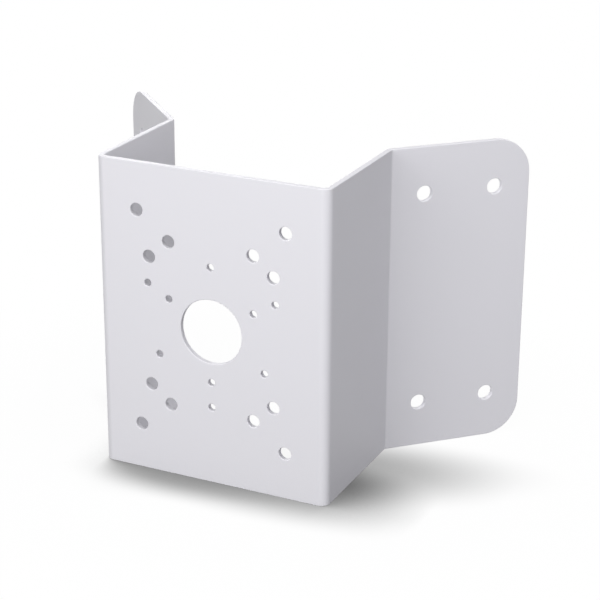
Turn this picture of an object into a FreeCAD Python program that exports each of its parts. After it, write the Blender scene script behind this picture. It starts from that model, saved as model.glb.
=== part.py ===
import FreeCAD, Part
import math
import os

# Corner mount bracket for a camera: one steel sheet, cut flat with all its holes and folded four times.
# The front plate carries the camera, two side walls hold it off the building, and two flanges at
# 45 degrees lie on the two faces of a building's outside corner. The corner's edge comes in between
# the side walls.
# Lengths are in millimetres and angles in degrees. X runs along the front plate, Y from the front to
# the back and Z up. The origin is the middle of the part's footprint, at its lower edge.

# The sheet and how it is folded
sheet = 3.0
inside_bend = 2.0
flange_angle = 45.0

# The folded shape. Widths and lengths are taken on the front surfaces, from fold line to fold line.
height = 170.0
plate_width = 131.0
wall_depth = 76.5
flange_length = 79.0
flange_corner = 19.5

# The cut edges of the sheet are rolled over a little by the deburring and the coat
edge_round = 0.4

# The front plate: a cable hole in the middle, with the screw holes of several camera bases round it
cable_hole = 35.0
large_hole = 7.0
small_hole = 4.0
square_ring = 100.0
tall_pattern_width = 48.0
tall_pattern_height = 90.0
wide_pattern_width = 84.0
wide_pattern_height = 119.0
outer_trio_ring = 84.0
middle_trio_ring = 70.0
inner_trio_ring = 56.0

# Where the first hole of a ring lies, as an angle above the plate's level line. A trio that starts
# at 30 degrees has one hole straight below the cable hole, and one that starts at 90 has it above.
square_ring_start = 45.0
outer_trio_start = 30.0
middle_trio_start = 90.0
inner_trio_start = 30.0

# The flanges: four anchor holes each
anchor_hole = 8.5
anchor_pitch = 40.0
anchor_height = 119.0
anchor_end_margin = 20.0

up = FreeCAD.Vector(0, 0, 1)
turn = math.radians(flange_angle)
flange_way = FreeCAD.Vector(math.cos(turn), math.sin(turn), 0)
into_flange = FreeCAD.Vector(-math.sin(turn), math.cos(turn), 0)
into_plate = FreeCAD.Vector(0, 1, 0)


def mirrored(vector):
    """The same vector on the other side of the plate's middle."""
    return FreeCAD.Vector(-vector.x, vector.y, vector.z)


def front_corners():
    """The corners of the sheet's front surface as seen from above, from the left end to the right."""
    plate_corner = FreeCAD.Vector(plate_width / 2, 0, 0)
    fold = FreeCAD.Vector(plate_width / 2, wall_depth, 0)
    free_end = fold + flange_way * flange_length
    right = [plate_corner, fold, free_end]
    return [mirrored(corner) for corner in reversed(right)] + right


def left_of(start, end):
    """The unit vector that points to the left of the way from one corner to the next."""
    way = end - start
    return FreeCAD.Vector(-way.y, way.x, 0).normalize()


def line_beside(corners, distance):
    """The corners of the line that runs beside another, to its left."""
    ways = [left_of(start, end) for start, end in zip(corners, corners[1:])]
    before = [ways[0]] + ways
    after = ways + [ways[-1]]
    beside = []
    for corner, way_in, way_out in zip(corners, before, after):
        both = way_in + way_out
        beside.append(corner + both * (2 * distance / both.dot(both)))
    return beside


def bent_line(corners, radii):
    """Straight runs between the corners, with a tangent arc of the given radius at each fold."""
    edges = []
    run_start = corners[0]
    for before, corner, after, radius in zip(corners, corners[1:], corners[2:], radii):
        back = (before - corner).normalize()
        ahead = (after - corner).normalize()
        half = back.getAngle(ahead) / 2
        inwards = (back + ahead).normalize()
        arc_start = corner + back * (radius / math.tan(half))
        arc_middle = corner + inwards * (radius / math.sin(half) - radius)
        arc_end = corner + ahead * (radius / math.tan(half))
        edges.append(Part.makeLine(run_start, arc_start))
        edges.append(Part.Arc(arc_start, arc_middle, arc_end).toShape())
        run_start = arc_end
    edges.append(Part.makeLine(run_start, corners[-1]))
    return edges


def section():
    """The folded sheet as seen from above. A fold is tight on its inside and wider on its outside."""
    front = front_corners()
    back = line_beside(front, sheet)
    outside_bend = inside_bend + sheet
    front_edges = bent_line(front, [inside_bend, outside_bend, outside_bend, inside_bend])
    back_edges = bent_line(back, [outside_bend, inside_bend, inside_bend, outside_bend])
    right_end = Part.makeLine(front[-1], back[-1])
    left_end = Part.makeLine(back[0], front[0])
    outline = front_edges + [right_end] + list(reversed(back_edges)) + [left_end]
    return Part.Face(Part.Wire(outline))


def edge_at(solid, point):
    """The edge of a solid whose middle is nearest to a point."""
    return min(solid.Edges, key=lambda edge: edge.CenterOfMass.distanceToPoint(point))


def rounded_flanges(solid):
    """The solid with the four outer corners of its flanges rounded."""
    right_end = front_corners()[-1] + into_flange * (sheet / 2)
    edges = []
    for end in (right_end, mirrored(right_end)):
        edges.append(edge_at(solid, end))
        edges.append(edge_at(solid, end + up * height))
    return solid.makeFillet(flange_corner, edges)


def is_cut_edge(solid, edge):
    """Whether the faces at an edge stand square to each other, rather than running on smoothly."""
    middle = edge.valueAt((edge.FirstParameter + edge.LastParameter) / 2)
    normals = []
    for face in solid.ancestorsOfType(edge, Part.Face):
        u, v = face.Surface.parameter(middle)
        normals.append(face.normalAt(u, v))
    halfway_to_square = math.radians(45)
    return normals[0].getAngle(normals[1]) > halfway_to_square


def rounded_edges(solid):
    """The solid with the sheet's cut edges rolled over, on its front and its back."""
    return solid.makeFillet(edge_round, [edge for edge in solid.Edges if is_cut_edge(solid, edge)])


def drill(diameter, centre, way):
    """A drill through the sheet at a point of its front face. It starts and ends one sheet clear of it."""
    return Part.makeCylinder(diameter / 2, 3 * sheet, centre - way * sheet, way)


def ring(diameter, count, start):
    """Hole places evenly round a circle, as the distances right and up from its middle."""
    angles = [math.radians(start + 360 / count * i) for i in range(count)]
    return [(diameter / 2 * math.cos(angle), diameter / 2 * math.sin(angle)) for angle in angles]


def rectangle(width, tall):
    """Hole places at the corners of a rectangle, as the distances right and up from its middle."""
    return [(side * width / 2, end * tall / 2) for side in (-1, 1) for end in (-1, 1)]


def plate_drills():
    """The drills for the front plate: the cable hole, the large screw holes and the small ones."""
    large = ring(square_ring, 4, square_ring_start)
    large += rectangle(tall_pattern_width, tall_pattern_height)
    large += rectangle(wide_pattern_width, wide_pattern_height)
    small = ring(outer_trio_ring, 3, outer_trio_start)
    small += ring(middle_trio_ring, 3, middle_trio_start)
    small += ring(inner_trio_ring, 3, inner_trio_start)
    middle = up * (height / 2)
    drills = [drill(cable_hole, middle, into_plate)]
    for diameter, places in ((large_hole, large), (small_hole, small)):
        for right, above in places:
            drills.append(drill(diameter, middle + FreeCAD.Vector(right, 0, above), into_plate))
    return drills


def flange_drills():
    """The drills for the anchor holes of both flanges, measured in from the free ends."""
    free_end = front_corners()[-1] + up * (height / 2)
    middle = free_end - flange_way * (anchor_end_margin + anchor_pitch / 2)
    drills = []
    for along, above in rectangle(anchor_pitch, anchor_height):
        centre = middle + flange_way * along + up * above
        drills.append(drill(anchor_hole, centre, into_flange))
        drills.append(drill(anchor_hole, mirrored(centre), mirrored(into_flange)))
    return drills


def corner_bracket():
    """The whole bracket, standing on its lower edge with the origin under the middle of its footprint."""
    blank = section().extrude(up * height)
    rounded = rounded_edges(rounded_flanges(blank))
    drilled = rounded.cut(plate_drills() + flange_drills()).Solids[0]
    footprint = drilled.optimalBoundingBox()
    drilled.translate(into_plate * -footprint.Center.y)
    return drilled


os.makedirs("parts", exist_ok=True)
bracket = corner_bracket()
bracket.exportStep("parts/corner_bracket.step")
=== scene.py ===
"""Dresses the camera corner mount bracket: one folded, powder-coated steel sheet.

The sheet is built the way its maker makes it. Geometry Nodes cut the flat blank with its
holes, round every cut edge, and then fold it along its four bend lines. The sheet's sizes are
in millimetres and are turned to metres where they reach Blender; the studio's are in metres.
"""

import logging
import math
from dataclasses import dataclass, field
from enum import Enum

import bpy
from mathutils import Matrix, Vector


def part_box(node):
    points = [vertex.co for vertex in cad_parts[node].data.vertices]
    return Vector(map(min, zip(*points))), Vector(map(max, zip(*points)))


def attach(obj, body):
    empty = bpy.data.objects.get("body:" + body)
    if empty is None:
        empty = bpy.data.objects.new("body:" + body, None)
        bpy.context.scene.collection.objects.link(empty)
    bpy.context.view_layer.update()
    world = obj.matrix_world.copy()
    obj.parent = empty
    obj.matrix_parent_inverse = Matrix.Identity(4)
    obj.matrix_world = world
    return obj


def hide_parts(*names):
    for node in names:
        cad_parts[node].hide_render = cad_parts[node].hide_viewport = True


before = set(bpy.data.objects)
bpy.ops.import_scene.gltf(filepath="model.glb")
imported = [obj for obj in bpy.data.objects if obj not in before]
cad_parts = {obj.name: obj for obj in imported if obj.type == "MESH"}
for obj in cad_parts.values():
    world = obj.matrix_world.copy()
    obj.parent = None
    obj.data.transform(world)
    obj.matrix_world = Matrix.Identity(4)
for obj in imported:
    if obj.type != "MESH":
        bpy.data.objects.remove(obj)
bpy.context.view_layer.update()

MM = 0.001
WHITE = "#FFFFFF"
NODE = "corner_bracket"
BODY = "root"

log = logging.getLogger("corner_bracket")


def linear(hex_colour: str) -> tuple[float, float, float, float]:
    """Turns an sRGB hex colour into the linear colour that Blender's shaders take.

    The numbers in it are those of the sRGB standard's curve.

    Args:
        hex_colour: Six hex digits with a leading hash, such as "#E6E5EB".

    Returns:
        Linear red, green and blue, and an alpha of 1.
    """
    levels = [int(hex_colour[i : i + 2], 16) / 255 for i in (1, 3, 5)]
    red, green, blue = (c / 12.92 if c <= 0.04045 else ((c + 0.055) / 1.055) ** 2.4 for c in levels)
    return red, green, blue, 1.0


def add_node(tree: bpy.types.NodeTree, kind: str, inputs: dict | None = None, **settings: object) -> bpy.types.Node:
    """Adds one node to a tree, with its settings and its input values or links.

    Args:
        tree: The node tree that gets the node.
        kind: The node's type name.
        inputs: Input name or number to a value, a socket to link from, or a list of sockets.
        settings: The node's own properties, set before its inputs.

    Returns:
        The new node.
    """
    node = tree.nodes.new(kind)
    for name, value in settings.items():
        setattr(node, name, value)
    for key, value in (inputs or {}).items():
        for source in value if isinstance(value, list) else [value]:
            if isinstance(source, bpy.types.NodeSocket):
                tree.links.new(source, node.inputs[key])
            else:
                node.inputs[key].default_value = source
    return node


class Carries(Enum):
    """What an input of a node group carries."""

    GEOMETRY = "NodeSocketGeometry"
    NUMBER = "NodeSocketFloat"
    COUNT = "NodeSocketInt"
    MATERIAL = "NodeSocketMaterial"


@dataclass
class NodeGroup:
    """A Geometry Nodes group that is being built, with named inputs and outputs."""

    name: str
    tree: bpy.types.NodeTree = field(init=False)
    given: bpy.types.Node = field(init=False)
    result: bpy.types.Node = field(init=False)

    def __post_init__(self) -> None:
        """Makes the empty tree with its group input and output."""
        self.tree = bpy.data.node_groups.new(self.name, "GeometryNodeTree")
        self.given = self.tree.nodes.new("NodeGroupInput")
        self.result = self.tree.nodes.new("NodeGroupOutput")

    def takes(self, name: str, kind: Carries = Carries.NUMBER) -> bpy.types.NodeSocket:
        """Adds a named input.

        Args:
            name: The input's name.
            kind: What it carries.

        Returns:
            The socket inside the group that gives the input's value.
        """
        self.tree.interface.new_socket(name=name, in_out="INPUT", socket_type=kind.value)
        return self.given.outputs[name]

    def gives(self, name: str, source: bpy.types.NodeSocket) -> None:
        """Adds a named geometry output.

        Args:
            name: The output's name.
            source: The socket that it passes on.
        """
        self.tree.interface.new_socket(name=name, in_out="OUTPUT", socket_type=Carries.GEOMETRY.value)
        self.tree.links.new(source, self.result.inputs[name])

    def add(self, kind: str, inputs: dict | None = None, **settings: object) -> bpy.types.NodeOutputs:
        """Adds a node to this group.

        Args:
            kind: The node's type name.
            inputs: Its inputs, as add_node takes them.
            settings: Its own properties.

        Returns:
            The node's outputs.
        """
        return add_node(self.tree, kind, inputs, **settings).outputs

    def rectangle(
        self,
        left: bpy.types.NodeSocket,
        low: bpy.types.NodeSocket | float,
        right: bpy.types.NodeSocket,
        high: bpy.types.NodeSocket,
    ) -> bpy.types.NodeSocket:
        """Adds a rectangle's outline, counterclockwise from its lower left corner.

        Args:
            left: Where its left side lies along X.
            low: Where its lower side lies along Y.
            right: Where its right side lies along X.
            high: Where its upper side lies along Y.

        Returns:
            The outline as a closed curve.
        """
        corners = {
            f"Point {number}": self.add("ShaderNodeCombineXYZ", {"X": x, "Y": y})[0]
            for number, (x, y) in enumerate(((left, low), (right, low), (right, high), (left, high)), 1)
        }
        return self.add("GeometryNodeCurvePrimitiveQuadrilateral", corners, mode="POINTS")[0]


Sizes = dict[str, bpy.types.NodeSocket]
Tools = dict[str, NodeGroup]


class Layout(Enum):
    """How a set of equal holes lies on the front plate."""

    RING = "evenly spaced on a circle"
    RECTANGLE = "on the corners of a rectangle"


@dataclass(frozen=True)
class Drilling:
    """One set of equal holes round the front plate's middle, in millimetres and degrees."""

    name: str
    layout: Layout
    hole: float
    across: float
    tall: float = 0.0
    count: int = 4
    first_angle: float = 0.0


@dataclass(frozen=True)
class Unevenness:
    """A fine pattern on a surface, its spacing and depth in millimetres.

    Detail is how many finer ripples lie on it, and share how strong each is beside the last.
    """

    spacing: float
    depth: float = 0.0
    detail: float = 0.0
    share: float = 0.5

    @property
    def noise(self) -> dict[str, float]:
        """The inputs of the noise node that draws it."""
        return {"Scale": 1 / (self.spacing * MM), "Detail": self.detail, "Roughness": self.share}


@dataclass(frozen=True)
class PowderCoat:
    """Satin polyester powder coat on steel, sprayed dry and baked.

    The melt levels into a soft orange peel, which breaks up the edge of every highlight, and
    its satin gloss gives a broad, weak sheen over a cool off-white that is nearly even.
    """

    name: str = "satin_polyester_powder_coat"
    colour: str = "#E6E5EB"
    warm_patch: str = "#E5E4E9"
    roughness: float = 0.44
    roughness_spread: float = 0.05
    ior: float = 1.5
    # The spray gun's passes leave the film a little thicker every few centimetres, and there it
    # is a touch warmer and duller. Its noise hardly leaves this range.
    film: Unevenness = Unevenness(spacing=45.0, detail=2.0)
    film_range: tuple[float, float] = (0.3, 0.7)
    # Real orange peel on thin satin coats is 1 to 3 mm from crest to crest.
    peel: Unevenness = Unevenness(spacing=1.9, depth=0.011, detail=1.0, share=0.4)
    # Powder grains leave a faint grit of about 0.1 mm; drawn at 0.7 mm, the finest that shows.
    grit: Unevenness = Unevenness(spacing=0.7, depth=0.0035)

    def make(self) -> bpy.types.Material:
        """Builds the material.

        Returns:
            The material, which reads Object coordinates only.
        """
        material = bpy.data.materials.new(self.name)
        material.use_nodes = True
        tree = material.node_tree
        tree.nodes.clear()
        place = add_node(tree, "ShaderNodeTexCoord").outputs["Object"]
        film, peel, grit = (
            add_node(tree, "ShaderNodeTexNoise", {"Vector": place, **uneven.noise}).outputs["Fac"]
            for uneven in (self.film, self.peel, self.grit)
        )
        tint = add_node(
            tree,
            "ShaderNodeMix",
            {"Factor": film, "A": linear(self.colour), "B": linear(self.warm_patch)},
            data_type="RGBA",
        )
        thin, thick = self.film_range
        glossiest = self.roughness - self.roughness_spread / 2
        dullest = glossiest + self.roughness_spread
        rough = add_node(
            tree,
            "ShaderNodeMapRange",
            {"Value": film, "From Min": thin, "From Max": thick, "To Min": glossiest, "To Max": dullest},
        ).outputs["Result"]
        peel_bump = add_node(
            tree, "ShaderNodeBump", {"Height": peel, "Strength": 1.0, "Distance": self.peel.depth * MM}
        ).outputs["Normal"]
        coat_bump = add_node(
            tree,
            "ShaderNodeBump",
            {"Height": grit, "Strength": 1.0, "Distance": self.grit.depth * MM, "Normal": peel_bump},
        ).outputs["Normal"]
        shader = add_node(
            tree,
            "ShaderNodeBsdfPrincipled",
            {"Roughness": rough, "IOR": self.ior, "Metallic": 0.0, "Normal": coat_bump},
        )
        tree.links.new(next(o for o in tint.outputs if o.type == "RGBA"), shader.inputs["Base Color"])
        add_node(tree, "ShaderNodeOutputMaterial", {"Surface": shader.outputs["BSDF"]})
        return material


@dataclass
class FoldedSheet:
    """The bracket's one sheet of steel, in millimetres.

    Widths lie on the front surface, from fold line to fold line, as the maker's drawing gives
    them. The blank is laid out flat with its length along X, its height along Y and its front
    surface at Z = 0, and its bends are measured along that front surface.
    """

    finish: PowderCoat
    sheet: float = 3.0
    inside_bend: float = 2.0
    flange_angle: float = 45.0
    plate_width: float = 131.0
    wall_depth: float = 76.5
    flange_length: float = 79.0
    flange_corner: float = 19.5
    edge_round: float = 0.4
    cable_hole: float = 35.0
    drillings: tuple[Drilling, ...] = (
        Drilling("Screw Ring 100", Layout.RING, hole=7.0, across=100.0, first_angle=45.0),
        Drilling("Screws 48 by 90", Layout.RECTANGLE, hole=7.0, across=48.0, tall=90.0),
        Drilling("Screws 84 by 119", Layout.RECTANGLE, hole=7.0, across=84.0, tall=119.0),
        Drilling("Screw Ring 84", Layout.RING, hole=4.0, across=84.0, count=3, first_angle=30.0),
        Drilling("Screw Ring 70", Layout.RING, hole=4.0, across=70.0, count=3, first_angle=90.0),
        Drilling("Screw Ring 56", Layout.RING, hole=4.0, across=56.0, count=3, first_angle=30.0),
    )
    anchor_hole: float = 8.5
    anchor_pitch: float = 40.0
    anchor_tall: float = 119.0
    anchor_end_margin: float = 20.0
    # Vertices nearer than this are one: less than any true edge, more than a sweep's corner error.
    weld_distance: float = 0.02
    edge_steps: int = 4
    corner_steps: int = 20
    right_angle_steps: int = 14
    flange_bend_steps: int = 9
    hole_sides: int = 64
    cable_hole_sides: int = 128

    @property
    def outside_bend(self) -> float:
        """The radius on the outer side of a bend."""
        return self.inside_bend + self.sheet

    @property
    def bend_setback(self) -> float:
        """From the flange's fold line to where its bend begins, on the front surface."""
        return self.inside_bend * math.tan(math.radians(self.flange_angle) / 2)

    @property
    def wall_line(self) -> float:
        """Where the bend between plate and side wall begins on the blank."""
        return self.plate_width / 2 - self.outside_bend

    @property
    def wall_start(self) -> float:
        """Where that bend ends and the side wall begins."""
        return self.wall_line + self.outside_bend * math.pi / 2

    @property
    def flange_line(self) -> float:
        """Where the bend between side wall and flange begins on the blank."""
        return self.wall_start + self.wall_depth - self.outside_bend - self.bend_setback

    @property
    def flange_start(self) -> float:
        """Where that bend ends and the flange begins."""
        return self.flange_line + self.inside_bend * math.radians(self.flange_angle)

    @property
    def free_end(self) -> float:
        """Where the blank ends."""
        return self.flange_start + self.flange_length - self.bend_setback

    def lengths(self) -> dict[str, float]:
        """Lists the tree's sizes.

        Returns:
            Input name to value, in metres for lengths and radians for angles.
        """
        low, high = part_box(NODE)
        millimetres = {
            "Sheet": self.sheet,
            "Edge Round": self.edge_round,
            "Wall Line": self.wall_line,
            "Wall Start": self.wall_start,
            "Flange Line": self.flange_line,
            "Flange Start": self.flange_start,
            "Free End": self.free_end,
            "Outside Bend": self.outside_bend,
            "Inside Bend": self.inside_bend,
            "Flange Corner": self.flange_corner,
            "Cable Hole": self.cable_hole,
            "Anchor Hole": self.anchor_hole,
            "Anchor Pitch": self.anchor_pitch,
            "Anchor Tall": self.anchor_tall,
            "Anchor Middle": self.free_end - self.anchor_end_margin - self.anchor_pitch / 2,
            "Weld Distance": self.weld_distance,
        }
        for drilling in self.drillings:
            millimetres[f"{drilling.name} Hole"] = drilling.hole
            millimetres[f"{drilling.name} Across"] = drilling.across
            if drilling.layout is Layout.RECTANGLE:
                millimetres[f"{drilling.name} Tall"] = drilling.tall
        sizes = {name: value * MM for name, value in millimetres.items()}
        sizes["Height"] = high.z - low.z
        sizes["Front"] = low.y
        sizes["Flange Angle"] = math.radians(self.flange_angle)
        return sizes

    def edge_profile(self) -> NodeGroup:
        """Builds the profile of a cut edge: across the sheet, with both corners rounded.

        Swept along a path, it stands on the path's right, so a face inside a path that runs
        counterclockwise meets it at one edge round from the path.

        Returns:
            The group, which gives the profile as a curve.
        """
        group = NodeGroup("Cut Edge Profile")
        sheet = group.takes("Sheet")
        rounding = group.takes("Edge Round")
        inward = group.add("ShaderNodeMath", {0: rounding, 1: -1.0}, operation="MULTIPLY")[0]
        corners = group.add(
            "GeometryNodeCurvePrimitiveQuadrilateral",
            {
                "Point 1": group.add("ShaderNodeCombineXYZ", {"X": inward})[0],
                "Point 2": (0.0, 0.0, 0.0),
                "Point 3": group.add("ShaderNodeCombineXYZ", {"Y": sheet})[0],
                "Point 4": group.add("ShaderNodeCombineXYZ", {"X": inward, "Y": sheet})[0],
            },
            mode="POINTS",
        )[0]
        opened = group.add("GeometryNodeSetSplineCyclic", {"Geometry": corners, "Cyclic": False})[0]
        rounded = group.add(
            "GeometryNodeFilletCurve", {"Curve": opened, "Radius": rounding, "Count": self.edge_steps}, mode="POLY"
        )[0]
        group.gives("Profile", rounded)
        return group

    def bend(self) -> NodeGroup:
        """Builds the press brake: it folds everything past a line round a centre.

        A centre above the front surface folds the sheet forwards, and one below it backwards.

        Returns:
            The group, which gives the folded geometry.
        """
        group = NodeGroup("Fold Along Line")
        blank = group.takes("Blank", Carries.GEOMETRY)
        line = group.takes("Line")
        centre = group.takes("Centre Above Front")
        angle = group.takes("Angle")
        place = group.add("ShaderNodeSeparateXYZ", {0: group.add("GeometryNodeInputPosition")[0]})
        past = group.add("ShaderNodeMath", {0: place["X"], 1: line}, operation="SUBTRACT")[0]
        radius = group.add("ShaderNodeMath", {0: centre}, operation="ABSOLUTE")[0]
        whole_run = group.add("ShaderNodeMath", {0: radius, 1: angle}, operation="MULTIPLY")[0]
        run = group.add("ShaderNodeClamp", {"Value": past, "Min": 0.0, "Max": whole_run})[0]
        turned = group.add("ShaderNodeMath", {0: run, 1: centre}, operation="DIVIDE")[0]
        shortened = group.add("ShaderNodeMath", {0: place["X"], 1: run}, operation="SUBTRACT")[0]
        folded = group.add(
            "ShaderNodeVectorRotate",
            {
                "Vector": group.add("ShaderNodeCombineXYZ", {"X": shortened, "Y": place["Y"], "Z": place["Z"]})[0],
                "Center": group.add("ShaderNodeCombineXYZ", {"X": line, "Z": centre})[0],
                "Angle": group.add("ShaderNodeMath", {0: turned, 1: -1.0}, operation="MULTIPLY")[0],
            },
            rotation_type="Y_AXIS",
        )[0]
        group.gives("Folded", group.add("GeometryNodeSetPosition", {"Geometry": blank, "Position": folded})[0])
        return group

    def hole(self, profile: NodeGroup) -> NodeGroup:
        """Builds one drilled hole: its rounded wall, and its outline on the front surface.

        Args:
            profile: The cut edge's profile.

        Returns:
            The group, which gives wall and outline together, as mesh and curve.
        """
        group = NodeGroup("Drilled Hole")
        diameter = group.takes("Diameter")
        sides = group.takes("Sides", Carries.COUNT)
        sheet = group.takes("Sheet")
        rounding = group.takes("Edge Round")
        radius = group.add("ShaderNodeMath", {0: diameter, 1: 0.5}, operation="MULTIPLY")[0]
        rim = group.add("GeometryNodeCurvePrimitiveCircle", {"Resolution": sides, "Radius": radius})[0]
        clockwise = group.add("GeometryNodeReverseCurve", {"Curve": rim})[0]
        across = group.add("GeometryNodeGroup", {"Sheet": sheet, "Edge Round": rounding}, node_tree=profile.tree)[0]
        wall = group.add("GeometryNodeCurveToMesh", {"Curve": clockwise, "Profile Curve": across})[0]
        wider = group.add("ShaderNodeMath", {0: radius, 1: rounding}, operation="ADD")[0]
        outline = group.add("GeometryNodeCurvePrimitiveCircle", {"Resolution": sides, "Radius": wider})[0]
        group.gives("Wall and Outline", group.add("GeometryNodeJoinGeometry", {0: [wall, outline]})[0])
        return group

    def faces(self) -> NodeGroup:
        """Builds the front and back surface inside a set of outlines.

        Returns:
            The group, which gives both surfaces, facing outwards.
        """
        group = NodeGroup("Front and Back")
        outlines = group.takes("Outlines", Carries.GEOMETRY)
        sheet = group.takes("Sheet")
        front = group.add("GeometryNodeFillCurve", {"Curve": outlines}, mode="TRIANGLES")[0]
        behind = group.add("ShaderNodeMath", {0: sheet, 1: -1.0}, operation="MULTIPLY")[0]
        moved = group.add(
            "GeometryNodeTransform",
            {"Geometry": front, "Translation": group.add("ShaderNodeCombineXYZ", {"Z": behind})[0]},
        )[0]
        back = group.add("GeometryNodeFlipFaces", {"Mesh": moved})[0]
        group.gives("Surfaces", group.add("GeometryNodeJoinGeometry", {0: [front, back]})[0])
        return group

    def drilled_plate(self, main: NodeGroup, size: Sizes, tools: Tools) -> bpy.types.NodeSocket:
        """Adds the front plate: its surfaces, top and bottom edges, and drilled holes.

        Args:
            main: The group that gets the nodes.
            size: The group's sizes by name, as sockets.
            tools: The smaller groups by name.

        Returns:
            The plate's mesh, flat.
        """
        middle = main.add("ShaderNodeMath", {0: size["Height"], 1: 0.5}, operation="MULTIPLY")[0]
        centre = main.add("ShaderNodeCombineXYZ", {"Y": middle})[0]
        cut = {"Sheet": size["Sheet"], "Edge Round": size["Edge Round"]}
        cable = main.add(
            "GeometryNodeGroup",
            {"Diameter": size["Cable Hole"], "Sides": self.cable_hole_sides, **cut},
            node_tree=tools["hole"].tree,
        )[0]
        holes = [main.add("GeometryNodeTransform", {"Geometry": cable, "Translation": centre})[0]]
        for drilling in self.drillings:
            across = size[f"{drilling.name} Across"]
            if drilling.layout is Layout.RING:
                radius = main.add("ShaderNodeMath", {0: across, 1: 0.5}, operation="MULTIPLY")[0]
                spots = main.add("GeometryNodeMeshCircle", {"Vertices": drilling.count, "Radius": radius})[0]
            else:
                tall = size[f"{drilling.name} Tall"]
                spots = main.add(
                    "GeometryNodeMeshGrid", {"Size X": across, "Size Y": tall, "Vertices X": 2, "Vertices Y": 2}
                )[0]
            turn = (0.0, 0.0, math.radians(drilling.first_angle))
            placed = main.add("GeometryNodeTransform", {"Geometry": spots, "Translation": centre, "Rotation": turn})[0]
            drilled = main.add(
                "GeometryNodeGroup",
                {"Diameter": size[f"{drilling.name} Hole"], "Sides": self.hole_sides, **cut},
                node_tree=tools["hole"].tree,
            )[0]
            holes.append(main.add("GeometryNodeInstanceOnPoints", {"Points": placed, "Instance": drilled})[0])
        half = size["Wall Line"]
        other_half = main.add("ShaderNodeMath", {0: half, 1: -1.0}, operation="MULTIPLY")[0]
        edges = []
        for height, start, end in ((size["Height"], half, other_half), (0.0, other_half, half)):
            path = main.add(
                "GeometryNodeCurvePrimitiveLine",
                {
                    "Start": main.add("ShaderNodeCombineXYZ", {"X": start, "Y": height})[0],
                    "End": main.add("ShaderNodeCombineXYZ", {"X": end, "Y": height})[0],
                },
            )[0]
            edges.append(self.cut_edge(main, path, cut, tools))
        low = size["Edge Round"]
        high = main.add("ShaderNodeMath", {0: size["Height"], 1: low}, operation="SUBTRACT")[0]
        outline = main.rectangle(other_half, low, half, high)
        return self.finished_panel(main, outline, holes, edges, size["Sheet"], tools)

    def cut_edge(
        self, main: NodeGroup, path: bpy.types.NodeSocket, cut: Sizes, tools: Tools
    ) -> bpy.types.NodeSocket:
        """Adds a cut edge along a path.

        Args:
            main: The group that gets the nodes.
            path: The edge's line on the blank, with the sheet on its left.
            cut: The sheet's thickness and edge round, as sockets.
            tools: The smaller groups by name.

        Returns:
            The edge's mesh.
        """
        across = main.add("GeometryNodeGroup", cut, node_tree=tools["profile"].tree)[0]
        return main.add("GeometryNodeCurveToMesh", {"Curve": path, "Profile Curve": across})[0]

    def finished_panel(
        self,
        main: NodeGroup,
        outline: bpy.types.NodeSocket,
        holes: list[bpy.types.NodeSocket],
        edges: list[bpy.types.NodeSocket],
        sheet: bpy.types.NodeSocket,
        tools: Tools,
    ) -> bpy.types.NodeSocket:
        """Joins a panel's surfaces, hole walls and cut edges.

        Args:
            main: The group that gets the nodes.
            outline: The surfaces' outer outline.
            holes: Walls and outlines of the holes.
            edges: Meshes of the cut edges.
            sheet: The sheet's thickness.
            tools: The smaller groups by name.

        Returns:
            The panel's mesh, flat.
        """
        drilled = main.add("GeometryNodeJoinGeometry", {0: holes})[0]
        real = main.add("GeometryNodeRealizeInstances", {"Geometry": drilled})[0]
        parts = main.add("GeometryNodeSeparateComponents", {"Geometry": real})
        outlines = main.add("GeometryNodeJoinGeometry", {0: [outline, parts["Curve"]]})[0]
        surfaces = main.add(
            "GeometryNodeGroup", {"Outlines": outlines, "Sheet": sheet}, node_tree=tools["faces"].tree
        )[0]
        return main.add("GeometryNodeJoinGeometry", {0: [surfaces, parts["Mesh"], *edges]})[0]

    def folded_wing(self, main: NodeGroup, size: Sizes, tools: Tools) -> bpy.types.NodeSocket:
        """Adds the right side: bend, side wall, bend and anchor flange.

        Args:
            main: The group that gets the nodes.
            size: The group's sizes by name, as sockets.
            tools: The smaller groups by name.

        Returns:
            The wing's mesh, folded.
        """
        top = main.add("ShaderNodeMath", {0: size["Height"], 1: -1.0}, operation="MULTIPLY")[0]
        section_corners = main.add(
            "GeometryNodeCurvePrimitiveQuadrilateral",
            {
                "Point 1": (0.0, 0.0, 0.0),
                "Point 2": main.add("ShaderNodeCombineXYZ", {"Y": size["Sheet"]})[0],
                "Point 3": main.add("ShaderNodeCombineXYZ", {"X": top, "Y": size["Sheet"]})[0],
                "Point 4": main.add("ShaderNodeCombineXYZ", {"X": top})[0],
            },
            mode="POINTS",
        )[0]
        section = main.add(
            "GeometryNodeFilletCurve",
            {"Curve": section_corners, "Radius": size["Edge Round"], "Count": self.edge_steps},
            mode="POLY",
        )[0]
        stations = []
        for start, end, steps in (
            ("Wall Line", "Wall Start", self.right_angle_steps),
            ("Flange Line", "Flange Start", self.flange_bend_steps),
        ):
            stations.append(
                main.add(
                    "GeometryNodeMeshLine",
                    {
                        "Count": steps + 1,
                        "Start Location": main.add("ShaderNodeCombineXYZ", {"X": size[start]})[0],
                        "Offset": main.add("ShaderNodeCombineXYZ", {"X": size[end]})[0],
                    },
                    mode="END_POINTS",
                )[0]
            )
        spots = main.add(
            "GeometryNodeMeshToPoints", {"Mesh": main.add("GeometryNodeJoinGeometry", {0: stations})[0]}
        )[0]
        along = main.add("ShaderNodeSeparateXYZ", {0: main.add("GeometryNodeInputPosition")[0]})["X"]
        spine = main.add("GeometryNodePointsToCurves", {"Points": spots, "Weight": along})[0]
        wall = main.add("GeometryNodeCurveToMesh", {"Curve": spine, "Profile Curve": section})[0]

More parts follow.
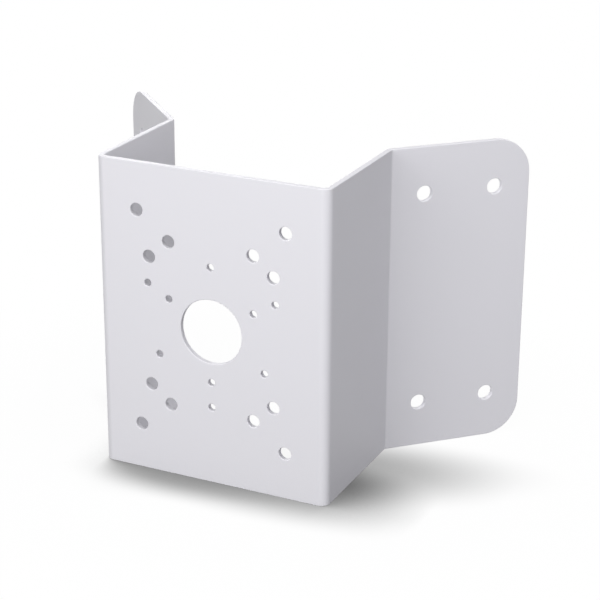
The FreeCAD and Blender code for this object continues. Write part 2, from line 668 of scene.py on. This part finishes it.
        flat = main.add("GeometryNodeJoinGeometry", {0: [wall, self.anchor_flange(main, size, tools)]})[0]
        flange_bend = {
            "Blank": flat,
            "Line": size["Flange Line"],
            "Centre Above Front": size["Inside Bend"],
            "Angle": size["Flange Angle"],
        }
        once = main.add("GeometryNodeGroup", flange_bend, node_tree=tools["bend"].tree)[0]
        below = main.add("ShaderNodeMath", {0: size["Outside Bend"], 1: -1.0}, operation="MULTIPLY")[0]
        wall_bend = {"Blank": once, "Line": size["Wall Line"], "Centre Above Front": below, "Angle": math.pi / 2}
        return main.add("GeometryNodeGroup", wall_bend, node_tree=tools["bend"].tree)[0]

    def anchor_flange(self, main: NodeGroup, size: Sizes, tools: Tools) -> bpy.types.NodeSocket:
        """Adds the flange's blank, with two rounded corners and four anchor holes.

        Args:
            main: The group that gets the nodes.
            size: The group's sizes by name, as sockets.
            tools: The smaller groups by name.

        Returns:
            The flange's mesh, flat.
        """
        cut = {"Sheet": size["Sheet"], "Edge Round": size["Edge Round"]}
        rims = {}
        for name, inset in (("edge", 0.0), ("surface", size["Edge Round"])):
            end = main.add("ShaderNodeMath", {0: size["Free End"], 1: inset}, operation="SUBTRACT")[0]
            top = main.add("ShaderNodeMath", {0: size["Height"], 1: inset}, operation="SUBTRACT")[0]
            radius = main.add("ShaderNodeMath", {0: size["Flange Corner"], 1: inset}, operation="SUBTRACT")[0]
            square = main.rectangle(size["Flange Start"], inset, end, top)
            opened = main.add("GeometryNodeSetSplineCyclic", {"Geometry": square, "Cyclic": False})[0]
            rims[name] = main.add(
                "GeometryNodeFilletCurve", {"Curve": opened, "Radius": radius, "Count": self.corner_steps}, mode="POLY"
            )[0]
        outline = main.add("GeometryNodeSetSplineCyclic", {"Geometry": rims["surface"], "Cyclic": True})[0]
        middle = main.add("ShaderNodeMath", {0: size["Height"], 1: 0.5}, operation="MULTIPLY")[0]
        spots = main.add(
            "GeometryNodeMeshGrid",
            {"Size X": size["Anchor Pitch"], "Size Y": size["Anchor Tall"], "Vertices X": 2, "Vertices Y": 2},
        )[0]
        centre = main.add("ShaderNodeCombineXYZ", {"X": size["Anchor Middle"], "Y": middle})[0]
        placed = main.add("GeometryNodeTransform", {"Geometry": spots, "Translation": centre})[0]
        drilled = main.add(
            "GeometryNodeGroup",
            {"Diameter": size["Anchor Hole"], "Sides": self.hole_sides, **cut},
            node_tree=tools["hole"].tree,
        )[0]
        holes = main.add("GeometryNodeInstanceOnPoints", {"Points": placed, "Instance": drilled})[0]
        edge = self.cut_edge(main, rims["edge"], cut, tools)
        return self.finished_panel(main, outline, [holes], [edge], size["Sheet"], tools)

    def tree(self) -> NodeGroup:
        """Builds the whole tree: blank, folds, mirror, weld, and the sheet stood up in its place.

        Returns:
            The group, which gives the folded sheet with its material.
        """
        profile = self.edge_profile()
        tools = {"profile": profile, "bend": self.bend(), "hole": self.hole(profile), "faces": self.faces()}
        main = NodeGroup("Folded Corner Bracket")
        size = {name: main.takes(name) for name in self.lengths()}
        finish = main.takes("Finish", Carries.MATERIAL)
        plate = self.drilled_plate(main, size, tools)
        right = self.folded_wing(main, size, tools)
        mirrored = main.add("GeometryNodeTransform", {"Geometry": right, "Scale": (-1.0, 1.0, 1.0)})[0]
        left = main.add("GeometryNodeFlipFaces", {"Mesh": mirrored})[0]
        whole = main.add("GeometryNodeJoinGeometry", {0: [plate, right, left]})[0]
        real = main.add("GeometryNodeRealizeInstances", {"Geometry": whole})[0]
        welded = main.add("GeometryNodeMergeByDistance", {"Geometry": real, "Distance": size["Weld Distance"]})[0]
        place = main.add("ShaderNodeCombineXYZ", {"Y": size["Front"]})[0]
        upright = main.add(
            "GeometryNodeTransform", {"Geometry": welded, "Rotation": (math.pi / 2, 0.0, 0.0), "Translation": place}
        )[0]
        smooth = main.add("GeometryNodeSetShadeSmooth", {"Geometry": upright, "Shade Smooth": True})[0]
        single = main.add("GeometryNodeRealizeInstances", {"Geometry": smooth})[0]
        main.gives("Sheet", main.add("GeometryNodeSetMaterial", {"Geometry": single, "Material": finish})[0])
        return main

    def build(self) -> bpy.types.Object:
        """Makes the sheet as a plain mesh that stands for the CAD solid.

        Returns:
            The finished piece, riding on the bracket's body.
        """
        main = self.tree()
        material = self.finish.make()
        piece = bpy.data.objects.new("folded_sheet", bpy.data.meshes.new("folded_sheet_blank"))
        bpy.context.scene.collection.objects.link(piece)
        nodes = piece.modifiers.new("Fold", "NODES")
        nodes.node_group = main.tree
        values = {**self.lengths(), "Finish": material}
        for item in main.tree.interface.items_tree:
            if item.in_out == "INPUT":
                nodes[item.identifier] = values[item.name]
        # Large flat faces keep true normals, and only the rounded edges and bends shade softly.
        weighted = piece.modifiers.new("True Flats", "WEIGHTED_NORMAL")
        weighted.mode = "FACE_AREA"
        made = bpy.data.meshes.new_from_object(piece.evaluated_get(bpy.context.evaluated_depsgraph_get()))
        made.materials.clear()
        made.materials.append(material)
        piece.modifiers.clear()
        piece.data = made
        made.name = "folded_sheet"
        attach(piece, BODY)
        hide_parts(NODE)
        return piece


@dataclass(frozen=True)
class Softbox:
    """One soft square lamp of the studio, in metres and watts."""

    name: str
    place: tuple[float, float, float]
    width: float
    power: float
    aim: tuple[float, float, float] = (0.0, 0.0, 0.08)
    colour: str = WHITE

    def hang(self) -> bpy.types.Object:
        """Adds the lamp to the scene.

        Returns:
            The lamp's object.
        """
        lamp = bpy.data.lights.new(self.name, "AREA")
        lamp.shape = "SQUARE"
        lamp.size = self.width
        lamp.energy = self.power
        lamp.color = linear(self.colour)[:3]
        box = bpy.data.objects.new(self.name, lamp)
        towards = Vector(self.aim) - Vector(self.place)
        box.matrix_world = Matrix.Translation(self.place) @ towards.to_track_quat("-Z", "Y").to_matrix().to_4x4()
        bpy.context.scene.collection.objects.link(box)
        return box


def seen_directly(tree: bpy.types.NodeTree) -> bpy.types.NodeSocket:
    """Adds a switch that is 1 for camera, mirror and glass rays and 0 for light falling on things.

    Args:
        tree: The shader tree that gets the nodes.

    Returns:
        The switch's socket.
    """
    path = add_node(tree, "ShaderNodeLightPath").outputs
    mirror = add_node(
        tree, "ShaderNodeMath", {0: path["Is Glossy Ray"], 1: path["Is Transmission Ray"]}, operation="MAXIMUM"
    ).outputs[0]
    return add_node(tree, "ShaderNodeMath", {0: path["Is Camera Ray"], 1: mirror}, operation="MAXIMUM").outputs[0]


@dataclass(frozen=True)
class FloorPatch:
    """A patch of the floor: its middle and half its width and depth in metres, turned by some degrees."""

    middle: tuple[float, float]
    half: tuple[float, float]
    turned: float = 0.0

    def seen_from(self, tree: bpy.types.NodeTree, place: bpy.types.NodeSocket) -> bpy.types.NodeSocket:
        """Adds a point's place on the patch, counted in half widths and depths from its middle.

        Args:
            tree: The floor's shader tree.
            place: The point's Object coordinates.

        Returns:
            The place as a vector socket.
        """
        offset = add_node(
            tree, "ShaderNodeVectorMath", {0: place, 1: (*self.middle, 0.0)}, operation="SUBTRACT"
        ).outputs["Vector"]
        back = -math.radians(self.turned)
        straight = add_node(
            tree, "ShaderNodeVectorRotate", {"Vector": offset, "Angle": back}, rotation_type="Z_AXIS"
        ).outputs["Vector"]
        return add_node(
            tree, "ShaderNodeVectorMath", {0: straight, 1: (*self.half, 1.0)}, operation="DIVIDE"
        ).outputs["Vector"]


@dataclass(frozen=True)
class PaintedContactShadow:
    """One layer of the bracket's soft contact shadow, painted into the floor's shown white.

    The white is darkened where the bracket, within reach in metres, stands on its open side: the
    side that the painted shadow is drawn as lit from. The layer is full on its patch and fades
    beyond it.
    """

    reach: float
    open_side: tuple[float, float, float]
    depth: float
    power: float
    patch: FloorPatch
    fades_until: float
    rays: int = 16

    def presence(self, tree: bpy.types.NodeTree, place: bpy.types.NodeSocket) -> bpy.types.NodeSocket:
        """Adds how much of the layer there is at a point.

        Args:
            tree: The floor's shader tree.
            place: The point's Object coordinates.

        Returns:
            The share's socket.
        """
        counted = self.patch.seen_from(tree, place)
        away = add_node(tree, "ShaderNodeVectorMath", {0: counted}, operation="LENGTH").outputs["Value"]
        return add_node(
            tree,
            "ShaderNodeMapRange",
            {"Value": away, "From Min": 1.0, "From Max": self.fades_until, "To Min": 1.0, "To Max": 0.0},
            interpolation_type="SMOOTHSTEP",
        ).outputs["Result"]

    def light_left(self, tree: bpy.types.NodeTree, place: bpy.types.NodeSocket) -> bpy.types.NodeSocket:
        """Adds the share of the shown white that this layer's painted shadow leaves.

        Args:
            tree: The floor's shader tree.
            place: The point's Object coordinates.

        Returns:
            The share's socket.
        """
        towards = add_node(tree, "ShaderNodeCombineXYZ", dict(enumerate(self.open_side))).outputs[0]
        opened = add_node(
            tree, "ShaderNodeAmbientOcclusion", {"Distance": self.reach, "Normal": towards}, samples=self.rays
        ).outputs["AO"]
        closed = add_node(tree, "ShaderNodeMath", {0: 1.0, 1: opened}, operation="SUBTRACT").outputs[0]
        shaped = add_node(tree, "ShaderNodeMath", {0: closed, 1: self.power}, operation="POWER").outputs[0]
        taken = add_node(tree, "ShaderNodeMath", {0: shaped, 1: self.depth}, operation="MULTIPLY").outputs[0]
        here = add_node(
            tree, "ShaderNodeMath", {0: taken, 1: self.presence(tree, place)}, operation="MULTIPLY"
        ).outputs[0]
        return add_node(tree, "ShaderNodeMath", {0: 1.0, 1: here}, operation="SUBTRACT").outputs[0]


@dataclass(frozen=True)
class StudioPaper:
    """Matt paper rolled out under the bracket, in metres apart from its fibre.

    It is shown as plain white with the bracket's soft contact shadow painted into it, and near the
    bracket a little as the lamps really light it.
    """

    name: str = "matt_studio_paper"
    colour: str = "#EFEFF0"
    # Around the bracket the paper throws back less light than it shows, so the sheet's lower
    # edges stay darker. Between the side walls it throws back all of it, as a white card would,
    # which is what lights the inner faces seen through the holes.
    bounce: str = "#616161"
    card: FloorPatch = FloorPatch(middle=(0.0, 0.004), half=(0.062, 0.066))
    # This share of the painted contact shadow is taken off the card, which shows white through the holes.
    card_raised: float = 0.7
    # Both layers of painted shadow fade towards the flanges and leave the floor under them white.
    layers: tuple[PaintedContactShadow, ...] = (
        PaintedContactShadow(
            reach=0.080,
            open_side=(-0.966, 0.0, 0.259),
            depth=0.776,
            power=0.600,
            patch=FloorPatch(middle=(0.0059, -0.0403), half=(0.0732, 0.0207), turned=18.0),
            fades_until=2.461,
        ),
        PaintedContactShadow(
            reach=0.050,
            open_side=(-0.875, 0.408, 0.259),
            depth=1.0,
            power=0.707,
            patch=FloorPatch(middle=(-0.0635, -0.0418), half=(0.1294, 0.0312), turned=-5.3),
            fades_until=1.725,
        ),
    )
    # Within lit_within of the middle this share shows white and the rest as the lamps light it.
    white_near: float = 0.97
    lit_within: float = 0.11
    white_from: float = 0.26
    # Paper fibre is finer than a pixel here; drawn at 0.8 mm, it only breaks up the grain.
    fibre: Unevenness = Unevenness(spacing=0.8, depth=0.02, detail=2.0)
    fibre_strength: float = 0.3

    def on_card(self, tree: bpy.types.NodeTree, place: bpy.types.NodeSocket) -> bpy.types.NodeSocket:
        """Adds a switch that is 1 on the card between the side walls.

        Args:
            tree: The floor's shader tree.
            place: The point's Object coordinates.

        Returns:
            The switch's socket.
        """
        counted = self.card.seen_from(tree, place)
        plain = add_node(tree, "ShaderNodeVectorMath", {0: counted}, operation="ABSOLUTE").outputs["Vector"]
        sides = add_node(tree, "ShaderNodeSeparateXYZ", {0: plain}).outputs
        furthest = add_node(tree, "ShaderNodeMath", {0: sides["X"], 1: sides["Y"]}, operation="MAXIMUM").outputs[0]
        return add_node(tree, "ShaderNodeMath", {0: furthest, 1: 1.0}, operation="LESS_THAN").outputs[0]

    def contact(
        self, tree: bpy.types.NodeTree, place: bpy.types.NodeSocket, card: bpy.types.NodeSocket
    ) -> bpy.types.NodeSocket:
        """Adds the share of white that the painted contact shadow leaves.

        Args:
            tree: The floor's shader tree.
            place: The point's Object coordinates.
            card: The switch that is 1 on the card.

        Returns:
            The share's socket.
        """
        each = [layer.light_left(tree, place) for layer in self.layers]
        left = add_node(tree, "ShaderNodeMath", dict(enumerate(each)), operation="MULTIPLY").outputs[0]
        raised = add_node(tree, "ShaderNodeMath", {0: card, 1: self.card_raised}, operation="MULTIPLY").outputs[0]
        return add_node(tree, "ShaderNodeMapRange", {"Value": raised, "To Min": left, "To Max": 1.0}).outputs["Result"]

    def whiteness(self, tree: bpy.types.NodeTree, place: bpy.types.NodeSocket) -> bpy.types.NodeSocket:
        """Adds the share that is shown plain white and not as the lamps light it.

        Args:
            tree: The floor's shader tree.
            place: The point's Object coordinates.

        Returns:
            The share's socket.
        """
        away = add_node(tree, "ShaderNodeVectorMath", {0: place}, operation="LENGTH").outputs["Value"]
        return add_node(
            tree,
            "ShaderNodeMapRange",
            {
                "Value": away,
                "From Min": self.lit_within,
                "From Max": self.white_from,
                "To Min": self.white_near,
                "To Max": 1.0,
            },
            interpolation_type="SMOOTHSTEP",
        ).outputs["Result"]

    def make(self) -> bpy.types.Material:
        """Builds the material.

        Returns:
            The material, which reads Object coordinates only.
        """
        material = bpy.data.materials.new(self.name)
        material.use_nodes = True
        tree = material.node_tree
        tree.nodes.clear()
        place = add_node(tree, "ShaderNodeTexCoord").outputs["Object"]
        seen = seen_directly(tree)
        card = self.on_card(tree, place)
        fibre = add_node(tree, "ShaderNodeTexNoise", {"Vector": place, **self.fibre.noise}).outputs["Fac"]
        grain = add_node(
            tree,
            "ShaderNodeBump",
            {"Height": fibre, "Strength": self.fibre_strength, "Distance": self.fibre.depth * MM},
        ).outputs["Normal"]
        bouncing, showing = (
            add_node(tree, "ShaderNodeBsdfDiffuse", {"Color": linear(colour), "Normal": grain}).outputs[0]
            for colour in (self.bounce, self.colour)
        )
        shows = add_node(tree, "ShaderNodeMath", {0: seen, 1: card}, operation="MAXIMUM").outputs[0]
        paper = add_node(tree, "ShaderNodeMixShader", {0: shows, 1: bouncing, 2: showing}).outputs[0]
        # The shown white is an emission whose strength carries the painted contact shadow.
        white = add_node(
            tree, "ShaderNodeEmission", {"Color": linear(WHITE), "Strength": self.contact(tree, place, card)}
        ).outputs[0]
        bare = add_node(
            tree, "ShaderNodeMath", {0: self.whiteness(tree, place), 1: seen}, operation="MULTIPLY"
        ).outputs[0]
        shown = add_node(tree, "ShaderNodeMixShader", {0: bare, 1: paper, 2: white}).outputs[0]
        add_node(tree, "ShaderNodeOutputMaterial", {"Surface": shown})
        return material


@dataclass
class Studio:
    """A white product studio: a softbox overhead, one in front, and weaker ones on the other sides."""

    paper: StudioPaper = StudioPaper()
    ambient: float = 0.08
    ambient_colour: str = "#FCFCFF"
    floor_size: float = 12.0
    lamps: tuple[Softbox, ...] = (
        Softbox("overhead_softbox", place=(0.2, -0.2, 1.1), width=0.6, power=5.8),
        Softbox("front_softbox", place=(0.0, -0.966, 0.339), width=0.6, power=7.5),
        Softbox("right_softbox", place=(0.966, 0.0, 0.339), width=0.6, power=2.25, colour="#FCFCFF"),
        Softbox("rear_softbox", place=(0.0, 0.985, 0.254), width=0.6, power=1.0),
        Softbox("rear_left_softbox", place=(-0.683, 0.683, 0.339), width=0.6, power=3.2),
    )

    def build_room(self) -> None:
        """Lights the world evenly, and shows it white."""
        world = bpy.data.worlds.new("white_room")
        world.use_nodes = True
        tree = world.node_tree
        tree.nodes.clear()
        light = add_node(
            tree, "ShaderNodeBackground", {"Color": linear(self.ambient_colour), "Strength": self.ambient}
        ).outputs[0]
        white = add_node(tree, "ShaderNodeBackground", {"Color": linear(WHITE), "Strength": 1.0}).outputs[0]
        shown = add_node(tree, "ShaderNodeMixShader", {0: seen_directly(tree), 1: light, 2: white}).outputs[0]
        add_node(tree, "ShaderNodeOutputWorld", {"Surface": shown})
        bpy.context.scene.world = world

    def build_floor(self) -> bpy.types.Object:
        """Lays the floor under the bracket.

        Returns:
            The floor's object.
        """
        half = self.floor_size / 2
        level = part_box(NODE)[0].z
        corners = [(-half, -half, level), (half, -half, level), (half, half, level), (-half, half, level)]
        mesh = bpy.data.meshes.new("studio_floor")
        mesh.from_pydata(corners, [], [(0, 1, 2, 3)])
        mesh.materials.append(self.paper.make())
        floor = bpy.data.objects.new("studio_floor", mesh)
        bpy.context.scene.collection.objects.link(floor)
        return floor

    def build(self) -> None:
        """Builds room, floor and lamps."""
        self.build_room()
        self.build_floor()
        for lamp in self.lamps:
            lamp.hang()


@dataclass(frozen=True)
class PhotoCamera:
    """The photograph's view of the bracket, in metres and degrees.

    Azimuth turns from the front plate towards the bracket's right side. Lens and sensor are in
    millimetres.
    """

    place: tuple[float, float, float] = (0.41106, -0.82606, 0.43720)
    azimuth: float = 25.437
    elevation: float = 21.195
    roll: float = 0.336
    lens: float = 109.81
    sensor: float = 36.0
    clip_end: float = 50.0

    def build(self) -> bpy.types.Object:
        """Adds the camera and makes it the scene's.

        Returns:
            The camera's object.
        """
        camera = bpy.data.cameras.new("photo_camera")
        camera.lens = self.lens
        camera.sensor_width = self.sensor
        camera.clip_end = self.clip_end
        holder = bpy.data.objects.new("photo_camera", camera)
        turn = (
            Matrix.Rotation(math.radians(self.azimuth), 4, "Z")
            @ Matrix.Rotation(math.radians(90 - self.elevation), 4, "X")
            @ Matrix.Rotation(math.radians(self.roll), 4, "Z")
        )
        holder.matrix_world = Matrix.Translation(self.place) @ turn
        bpy.context.scene.collection.objects.link(holder)
        bpy.context.scene.camera = holder
        return holder


def write_sizes() -> None:
    """Brings the view layer up to date; it writes nothing."""
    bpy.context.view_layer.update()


def main() -> None:
    """Builds the camera, the studio and the bracket, in order."""
    logging.basicConfig(level=logging.INFO, format="%(name)s: %(message)s")
    bpy.context.scene.view_settings.view_transform = "Standard"
    camera = PhotoCamera().build()
    log.info("camera at %s", [round(c, 3) for c in camera.location])
    Studio().build()
    log.info("studio built")
    sheet = FoldedSheet(PowderCoat()).build()
    log.info("%s: %d faces", sheet.name, len(sheet.data.polygons))
    write_sizes()


if __name__ == "__main__":
    main()
